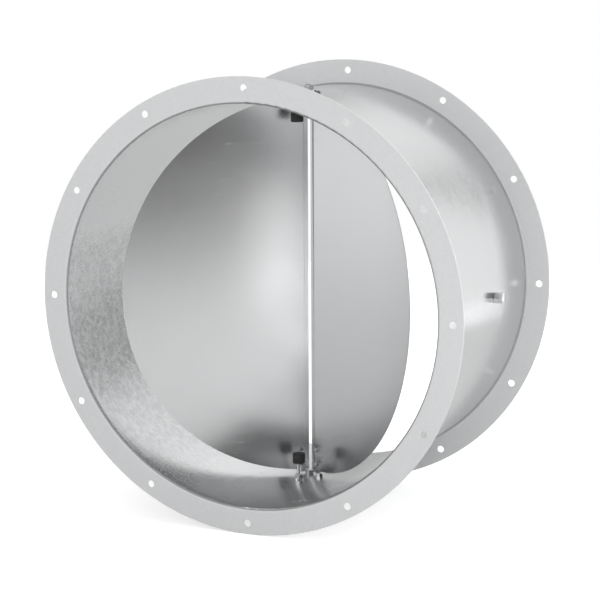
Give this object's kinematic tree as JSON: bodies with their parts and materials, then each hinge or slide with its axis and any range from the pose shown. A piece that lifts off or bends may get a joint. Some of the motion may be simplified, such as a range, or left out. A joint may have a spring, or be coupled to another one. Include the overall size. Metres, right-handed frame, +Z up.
{
  "type": "duct backdraft damper",
  "caption": "Round flanged duct section with a pair of half-disc flaps hinged on its centre line; airflow swings them open against rubber buffers and backflow shuts them.",
  "frame": {"origin": "centre of the casing, halfway between the two flange faces", "axes": "+Y along the duct, from the side that the flaps open to towards the side that they close to; +Z up, along the hinge axis; +X to the right"},
  "size_m": [0.569, 0.318, 0.569],
  "materials": {
    "galvanised_sheet": "zinc-coated sheet, matt light grey with fine spangle",
    "flap_sheet": "smooth half-gloss sheet with a faint rolling grain",
    "bracket_sheet": "zinc-coated sheet",
    "rivet_aluminium": "plain",
    "zinc_plated_steel": "bright zinc plate",
    "pin_steel": "turned and zinc plated",
    "buffer_rubber": "matt black"
  },
  "bodies": {
    "casing": {"casing": "galvanised_sheet", "upper_hinge_pin": "pin_steel", "lower_hinge_pin": "pin_steel", "hinge_pin_washers": "zinc_plated_steel", "hinge_pin_nuts": "zinc_plated_steel", "upper_open_stop_stud": "zinc_plated_steel", "lower_open_stop_stud": "zinc_plated_steel", "upper_rubber_buffer": "buffer_rubber", "lower_rubber_buffer": "buffer_rubber", "open_stop_inner_washers": "zinc_plated_steel", "open_stop_inner_nuts": "zinc_plated_steel", "open_stop_outer_washers": "zinc_plated_steel", "open_stop_outer_nuts": "zinc_plated_steel", "left_close_stop_bolt": "zinc_plated_steel", "right_close_stop_bolt": "zinc_plated_steel", "close_stop_lock_nuts": "zinc_plated_steel", "close_stop_inner_nuts": "zinc_plated_steel", "casing_screws": "zinc_plated_steel", "casing_screw_nuts": "zinc_plated_steel"},
    "left_flap": {"left_flap": "flap_sheet", "left_flap_upper_bracket": "bracket_sheet", "left_flap_lower_bracket": "bracket_sheet", "left_flap_rivets": "rivet_aluminium"},
    "right_flap": {"right_flap": "flap_sheet", "right_flap_upper_bracket": "bracket_sheet", "right_flap_lower_bracket": "bracket_sheet", "right_flap_rivets": "rivet_aluminium"}
  },
  "joints": [
    {"name": "left_flap_hinge", "type": "hinge", "parent": "casing", "child": "left_flap", "pos_m": [0, 0.031, 0], "axis": [0, 0, 1], "range_deg": [-40, 41.5]},
    {"name": "right_flap_hinge", "type": "hinge", "parent": "casing", "child": "right_flap", "pos_m": [0, 0.031, 0], "axis": [0, 0, -1], "range_deg": [-37, 44.5]}
  ]
}
